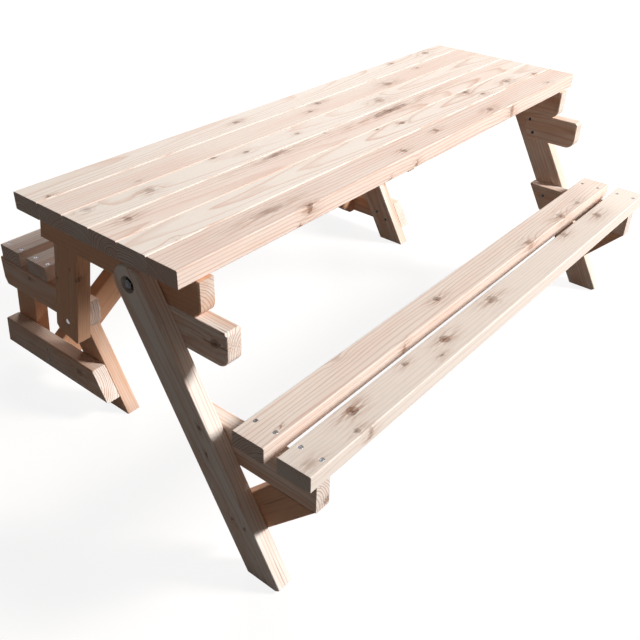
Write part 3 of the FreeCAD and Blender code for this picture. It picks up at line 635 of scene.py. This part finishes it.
def lay_grain(mesh, node, middle, directions):
    """Give every point its place in the board and in the tree in mm, and its wood's tone, and
    every face its share of end grain."""
    chance = random.Random(node)
    turn, distance = chance.uniform(-0.7, 0.7), chance.uniform(40, 110)
    side = chance.choice((-1, 1))
    lean = (chance.uniform(-12, 12), chance.uniform(-14, 14))
    seed = chance.uniform(0, 9000)
    value = chance.uniform(0.98, 1.03)
    if node in LOGS:
        pith, lean, heart, rings = LOGS[node]
    else:
        pith = (distance * math.sin(turn), -side * distance * math.cos(turn))
        heart = HEARTWOOD.get(node, HEARTWOOD[node.rsplit("_", 1)[0]])
        rings = COMMON_RINGS

    points = np.empty(len(mesh.vertices) * 3)
    mesh.vertices.foreach_get("co", points)
    points = (points.reshape(-1, 3) - np.array(middle)) / MM
    board = points @ np.array(directions).T
    log = board.copy()
    log[:, 0] += seed
    for axis in (1, 2):
        log[:, axis] -= pith[axis - 1] + lean[axis - 1] * board[:, 0] * MM
    tone = np.tile((heart, value, rings), (len(points), 1))
    for label, values in (("board", board), ("log", log), ("tone", tone)):
        layer = mesh.attributes.new(label, "FLOAT_VECTOR", "POINT")
        layer.data.foreach_set("vector", values.astype(np.float32).ravel())

    # No end grain where a face's normal is 60 degrees or more off the grain, and all from 37 down
    slopes = [abs(face.normal.dot(directions[0])) for face in mesh.polygons]
    layer = mesh.attributes.new("end", "FLOAT", "FACE")
    layer.data.foreach_set("value", [min(max((slope - 0.5) / 0.3, 0), 1) for slope in slopes])


def make_board(node, rounding, material):
    """A board with rubbed edges and countersunk screw holes, in place of its CAD node."""
    bm = welded_copy(node)
    bmesh.ops.dissolve_limit(bm, angle_limit=SAME_PLANE, verts=bm.verts, edges=bm.edges)
    middle, directions = board_directions(bm)
    edges = [edge for edge in bm.edges if edge.is_manifold and edge.calc_face_angle(0) > ARRIS]
    bmesh.ops.bevel(bm, geom=edges, offset=rounding, segments=2, profile=0.5, affect="EDGES",
                    clamp_overlap=True)
    mesh = finish_mesh(bm, node + "_board", WOOD_CREASE)
    cutter = countersinks(*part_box(node))
    if cutter.faces:
        shape = new_object("shape", mesh)
        sink = new_object("sink", finish_mesh(cutter, "sink", WOOD_CREASE))
        cut = shape.modifiers.new("Countersinks", "BOOLEAN")
        cut.operation, cut.object, cut.solver = "DIFFERENCE", sink, "EXACT"
        graph = bpy.context.evaluated_depsgraph_get()
        mesh = bpy.data.meshes.new_from_object(shape.evaluated_get(graph))
        for item in (sink, shape):
            bpy.data.meshes.remove(item.data)
        mesh.name = node + "_board"
    else:
        cutter.free()
    lay_grain(mesh, node, middle, directions)
    shading = piece(node + "_board", mesh, material, node).modifiers.new(
        "Even shading", "WEIGHTED_NORMAL")
    shading.keep_sharp = True


def make_boards(group):
    """All the boards of one group. A board with listed knots gets a material of its own. The
    frame's boards, and those without a list, have scattered knots too."""
    wood = bpy.context.scene.picnic_wood
    prefixes, slot = BOARD_GROUPS[group]
    nodes = [name for name in sorted(NODE_BODY) if name.startswith(prefixes)]
    if not nodes:
        raise RuntimeError(f"no CAD node for {group}")
    framed = slot == "frame_boards"
    sapwood = wood.frame_sapwood if framed else wood.sapwood
    heartwood = wood.frame_heartwood if framed else wood.heartwood
    for node in nodes:
        knots = KNOTS.get(node, [])
        label = "Planed larch, " + (node if knots else group).replace("_", " ")
        material = bpy.data.materials.get(label) or planed_larch(
            label, sapwood, heartwood, wood.latewood, wood.ring_width, knots,
            scattered=framed or not knots, cracks_and_painted_sunlit_ends=framed)
        make_board(node, wood.rounding, material)


class PICNIC_OT_tabletop_planks(bpy.types.Operator):
    """Build the six planks of the tabletop"""
    bl_idname = "picnic.tabletop_planks"
    bl_label = "Tabletop planks"

    def execute(self, context):
        make_boards("tabletop_planks")
        return {"FINISHED"}


class PICNIC_OT_tabletop_frame(bpy.types.Operator):
    """Build the rails under the tabletop and the hangers inside them"""
    bl_idname = "picnic.tabletop_frame"
    bl_label = "Tabletop rails and hangers"

    def execute(self, context):
        make_boards("tabletop_frame")
        return {"FINISHED"}


class PICNIC_OT_front_frame(bpy.types.Operator):
    """Build the front legs, armrests, seat supports and braces"""
    bl_idname = "picnic.front_frame"
    bl_label = "Front frame"

    def execute(self, context):
        make_boards("front_frame")
        return {"FINISHED"}


class PICNIC_OT_front_seat(bpy.types.Operator):
    """Build the two planks of the front seat"""
    bl_idname = "picnic.front_seat"
    bl_label = "Front seat planks"

    def execute(self, context):
        make_boards("front_seat")
        return {"FINISHED"}


class PICNIC_OT_rear_frame(bpy.types.Operator):
    """Build the rear supports, legs, beams, posts and braces"""
    bl_idname = "picnic.rear_frame"
    bl_label = "Rear frame"

    def execute(self, context):
        make_boards("rear_frame")
        return {"FINISHED"}


class PICNIC_OT_rear_seat(bpy.types.Operator):
    """Build the two planks of the rear seat"""
    bl_idname = "picnic.rear_seat"
    bl_label = "Rear seat planks"

    def execute(self, context):
        make_boards("rear_seat")
        return {"FINISHED"}


class PICNIC_OT_screws(bpy.types.Operator):
    """Build the countersunk wood screws with their star recesses"""
    bl_idname = "picnic.screws"
    bl_label = "Wood screws"

    def execute(self, context):
        metal = context.scene.picnic_metal
        bright = zinc_plated_steel("Zinc plated steel, seat screws", metal.zinc, 0.30)
        # The lap screws take the darker zinc: painted shade
        shade_darkened = zinc_plated_steel("Zinc plated steel, lap screws", metal.shade_darkened_zinc, 0.38)
        for wanted in SCREW_NODES:
            bm = bmesh.new()
            for node, point, direction, length in SCREWS:
                if node == wanted:
                    self.add_screw(bm, pointing(point, direction), length)
            if not bm.faces:
                raise RuntimeError(f"no screws in {wanted}")
            mesh = finish_mesh(bm, wanted + "_zinc", METAL_CREASE)
            steel = bright if "seat" in wanted else shade_darkened
            piece(wanted + "_zinc", mesh, steel, wanted)
        return {"FINISHED"}

    @staticmethod
    def add_screw(bm, matrix, length):
        """One screw along -Z, its head a little below the wood's face: up the star recess, over
        the head and down the shank to its tip."""
        head, shank, top = SCREW_HEAD_RADIUS, SCREW_SHANK_RADIUS, -SCREW_SUNK
        pit, wall, rim = top - 2.4 * MM, top - 1.9 * MM, top - 0.25 * MM

        def star(angle):
            return (2.45 + 0.4 * math.cos(6 * angle)) * MM

        def mouth(angle):
            return star(angle) + 0.2 * MM

        loft(bm, [circle(1.4 * MM, pit), circle(star, wall), circle(star, top - 0.15 * MM),
                  circle(mouth, top), circle(head - 0.3 * MM, top), circle(head, rim),
                  circle(shank, rim - head + shank), circle(shank, -length + 2 * shank),
                  circle(0.2 * MM, -length + SCREW_PROUD)], matrix)


def hexagon_radius(width):
    """The radius of a hexagon at an angle, by its width across the flats."""
    def radius(angle):
        turned = (angle + math.pi / 6) % (math.pi / 3) - math.pi / 6
        return width / 2 / math.cos(turned)
    return radius


def hexagon_rings(width, low, high, both):
    """A hexagonal block whose corners are turned off by 30 degrees at its top, and at its bottom
    if both, down to a round face a little narrower than its flats."""
    outline = hexagon_radius(width)
    flat = width / 2 * 0.98

    def drop(angle):
        return (outline(angle) - flat) * math.tan(math.radians(30))

    foot = [circle(outline, low, FINE)]
    if both:
        foot = [circle(flat, low, FINE), circle(outline, lambda angle: low + drop(angle), FINE)]
    return [*foot, circle(outline, lambda angle: high - drop(angle), FINE),
            circle(flat, high, FINE)]


def thread_rings(start, stop):
    """Grooves of a thread from one height to another, where the bolt ends narrower."""
    count = max(int(abs(stop - start) / THREAD_PITCH), 1)
    step = (stop - start) / count
    rings = []
    for index in range(count):
        rings.append(circle(BOLT_RADIUS, start + step * (index + 0.15), FINE))
        rings.append(circle(BOLT_RADIUS - THREAD_DEPTH, start + step * (index + 0.6), FINE))
    return [*rings, circle(BOLT_RADIUS - THREAD_DEPTH - 0.1 * MM, stop, FINE)]


class PICNIC_OT_pivot_hardware(bpy.types.Operator):
    """Build the bolts, nuts and washers of the front pivots and of the rear hinges"""
    bl_idname = "picnic.pivot_hardware"
    bl_label = "Pivot and hinge bolts"

    def execute(self, context):
        metal = context.scene.picnic_metal
        # The pivot bolts, nuts and washers take the darker zinc: painted shade in their
        # counterbores
        shade_darkened = zinc_plated_steel("Zinc plated steel, weathered", metal.shade_darkened_zinc, 0.42)
        bright = zinc_plated_steel("Zinc plated steel, bright", metal.zinc, 0.24)
        plan = (("pivot_bolts", self.hexagon_bolt, shade_darkened, "pivot_steel"),
                ("pivot_nuts", self.nut, shade_darkened, "pivot_steel"),
                ("pivot_washers", self.washer, shade_darkened, "pivot_steel"),
                ("hinge_bolts", self.domed_bolt, bright, "hinge_zinc"),
                ("hinge_nuts", self.nut, bright, "hinge_zinc"),
                ("hinge_washers", self.washer, bright, "hinge_zinc"))
        for node, rings_of, steel, slot in plan:
            bm = bmesh.new()
            for _, low, high in islands(node):
                side = 1 if low.x > 0 else -1
                middle = (low + high) / 2
                start = Vector((low.x if side > 0 else high.x, middle.y, middle.z))
                rings, closed = rings_of(high.x - low.x)
                loft(bm, rings, pointing(start, Vector((side, 0, 0))), closed)
            mesh = finish_mesh(bm, node + "_steel", METAL_CREASE)
            piece(node + "_steel", mesh, steel, node)
        return {"FINISHED"}

    @staticmethod
    def nut(height):
        """A hexagon round a hole whose mouths are turned wide."""
        hole, mouth, depth = BOLT_RADIUS - 0.1 * MM, BOLT_RADIUS + 0.6 * MM, 0.7 * MM
        return [circle(hole, depth, FINE), circle(mouth, 0, FINE),
                *hexagon_rings(NUT_WIDTH, 0, height, True),
                circle(mouth, height, FINE), circle(hole, height - depth, FINE)], True

    @staticmethod
    def washer(height):
        """A punched ring with eased edges."""
        hole, rim, easing = BOLT_RADIUS + 0.05 * MM, WASHER_RADIUS, 0.35 * MM
        return [circle(hole, 0, FINE), circle(rim - easing, 0, FINE), circle(rim, easing, FINE),
                circle(rim, height - easing, FINE), circle(rim - easing, height, FINE),
                circle(hole + easing, height, FINE), circle(hole, height - easing, FINE)], True

    @staticmethod
    def hexagon_bolt(length):
        """A head with its turned corners outside, the shank and the thread at its end."""
        rings = hexagon_rings(NUT_WIDTH, 0, BOLT_HEAD, False)
        head = [[(x, y, BOLT_HEAD - z) for x, y, z in ring[::-1]] for ring in rings[::-1]]
        return [*head, circle(BOLT_RADIUS, BOLT_HEAD, FINE),
                *thread_rings(length - THREAD_LENGTH, length)], False

    @staticmethod
    def domed_bolt(length):
        """A thread, the shank and a head that is part of a ball."""
        foot, steps = length - DOME_RISE, 8
        ball = (DOME_RADIUS ** 2 + DOME_RISE ** 2) / (2 * DOME_RISE)
        dome = [circle(math.sqrt(ball ** 2 - (ball - DOME_RISE + up) ** 2), foot + up, FINE)
                for up in (DOME_RISE * step / steps for step in range(steps))]
        return [*thread_rings(THREAD_LENGTH, 0)[::-1], circle(BOLT_RADIUS, THREAD_LENGTH, FINE),
                circle(BOLT_RADIUS, foot, FINE), circle(DOME_RADIUS - 0.3 * MM, foot, FINE),
                *dome, circle(0.3 * MM, length, FINE)], False


class PICNIC_OT_stage(bpy.types.Operator):
    """Build the floor, the room's light, the soft boxes and the camera"""
    bl_idname = "picnic.stage"
    bl_label = "Stage and camera"

    def execute(self, context):
        looks = context.scene.picnic_stage
        self.floor(looks.floor)
        self.room(context.scene, looks.ambient, looks.tint)
        for name, (place, size) in SOFT_BOXES.items():
            self.soft_box(name.title(), place, size, getattr(looks, name))
        self.camera(context.scene)
        context.scene.view_settings.view_transform = "Standard"
        return {"FINISHED"}

    @staticmethod
    def floor(colour):
        """A matt floor that is lifted to white where it is seen, and keeps the bench's shadow."""
        material, tree, surface = new_material("Matt white floor paint")
        surface.inputs["Roughness"].default_value = 0.9
        surface.inputs["Specular IOR Level"].default_value = 0.1
        place = add(tree, "TexCoord").outputs["Object"]
        mottle = add(tree, "MapRange", add(tree, "TexNoise", place, 3.0, 2.0),
                     0.3, 0.7, 0.985, 1.0)
        feed(tree, surface.inputs["Base Color"],
             add(tree, "VectorMath", tuple(colour), mottle, operation="SCALE"))
        # Far from the table the floor is as white as the room, so that no horizon shows
        far = add(tree, "VectorMath", place, operation="LENGTH").outputs["Value"]
        level = add(tree, "MapRange", far, *FLOOR_FADE, FLOOR_LEVEL, 1.0,
                    interpolation_type="SMOOTHSTEP")
        lift = add(tree, "Math", seen_rays(tree), level, operation="MULTIPLY")
        glow = add(tree, "Emission", WHITE, lift)
        output = next(node for node in tree.nodes if node.type == "OUTPUT_MATERIAL")
        feed(tree, output.inputs["Surface"], add(tree, "AddShader", surface, glow))
        bm = bmesh.new()
        bmesh.ops.create_grid(bm, x_segments=8, y_segments=8, size=FLOOR_REACH)
        mesh = bpy.data.meshes.new("floor")
        bm.to_mesh(mesh)
        bm.free()
        mesh.materials.append(material)
        item = new_object("floor", mesh)
        # A hair below the feet, so that no two faces lie in one plane
        item.location.z = -0.5 * MM

    @staticmethod
    def room(scene, ambient, tint):
        """An even room: its light on the wood is weak, and it is white where it is seen."""
        scene.world = bpy.data.worlds.new("Room")
        scene.world.use_nodes = True
        tree = scene.world.node_tree
        background = tree.nodes["Background"].inputs
        seen = seen_rays(tree)
        feed(tree, background["Strength"], add(tree, "MapRange", seen, 0.0, 1.0, ambient, 1.0))
        feed(tree, background["Color"], add(tree, "Mix", seen, tint, WHITE, data_type="RGBA"))

    @staticmethod
    def soft_box(name, place, size, power):
        """A square soft box that faces the table."""
        lamp = bpy.data.lights.new(name, "AREA")
        lamp.shape, lamp.size, lamp.energy = "SQUARE", size, power
        item = new_object(name, lamp)
        item.location = place
        item.rotation_euler = (LIT_POINT - Vector(place)).to_track_quat("-Z", "Y").to_euler()

    @staticmethod
    def camera(scene):
        """The photograph's view: from the front left, looking down."""
        azimuth, elevation, roll = (math.radians(angle) for angle in (-51.76, 33.46, 1.77))
        place = Vector((-1.7532, -1.3570, 1.5009))
        back = Vector((math.sin(azimuth) * math.cos(elevation),
                       -math.cos(azimuth) * math.cos(elevation), math.sin(elevation)))
        right = (-back).cross(Vector((0, 0, 1))).normalized()
        up = right.cross(-back)
        level_right = math.cos(roll) * right + math.sin(roll) * up
        level_up = -math.sin(roll) * right + math.cos(roll) * up
        lens = bpy.data.cameras.new("Camera")
        lens.sensor_width, lens.lens = 36, 44.4
        item = new_object("Camera", lens)
        turn = Matrix((level_right, level_up, back)).transposed().to_4x4()
        item.matrix_world = Matrix.Translation(place) @ turn
        scene.camera = item


class PICNIC_PT_panel(bpy.types.Panel):
    """Sizes, colours and the pieces of the bench"""
    bl_label = "Picnic table bench"
    bl_idname = "PICNIC_PT_panel"
    bl_space_type = "VIEW_3D"
    bl_region_type = "UI"
    bl_category = "Picnic bench"

    def draw(self, context):
        for name, _ in SETTINGS:
            box = self.layout.box()
            looks = getattr(context.scene, name)
            for key in looks.bl_rna.properties.keys():
                if key not in ("rna_type", "name"):
                    box.prop(looks, key)
        for operator in OPERATORS:
            self.layout.operator(operator.bl_idname)


OPERATORS = (PICNIC_OT_tabletop_planks, PICNIC_OT_tabletop_frame, PICNIC_OT_front_frame,
             PICNIC_OT_front_seat, PICNIC_OT_rear_frame, PICNIC_OT_rear_seat, PICNIC_OT_screws,
             PICNIC_OT_pivot_hardware, PICNIC_OT_stage)
SETTINGS = (("picnic_wood", PicnicWood), ("picnic_metal", PicnicMetal),
            ("picnic_stage", PicnicStage))


def register():
    for name, group in SETTINGS:
        bpy.utils.register_class(group)
        setattr(bpy.types.Scene, name, bpy.props.PointerProperty(type=group))
    for item in (*OPERATORS, PICNIC_PT_panel):
        bpy.utils.register_class(item)


def unregister():
    for item in (PICNIC_PT_panel, *reversed(OPERATORS)):
        bpy.utils.unregister_class(item)
    for name, group in reversed(SETTINGS):
        delattr(bpy.types.Scene, name)
        bpy.utils.unregister_class(group)


def main():
    register()
    for operator in OPERATORS:
        module, name = operator.bl_idname.split(".")
        getattr(getattr(bpy.ops, module), name)()


if __name__ == "__main__":
    main()
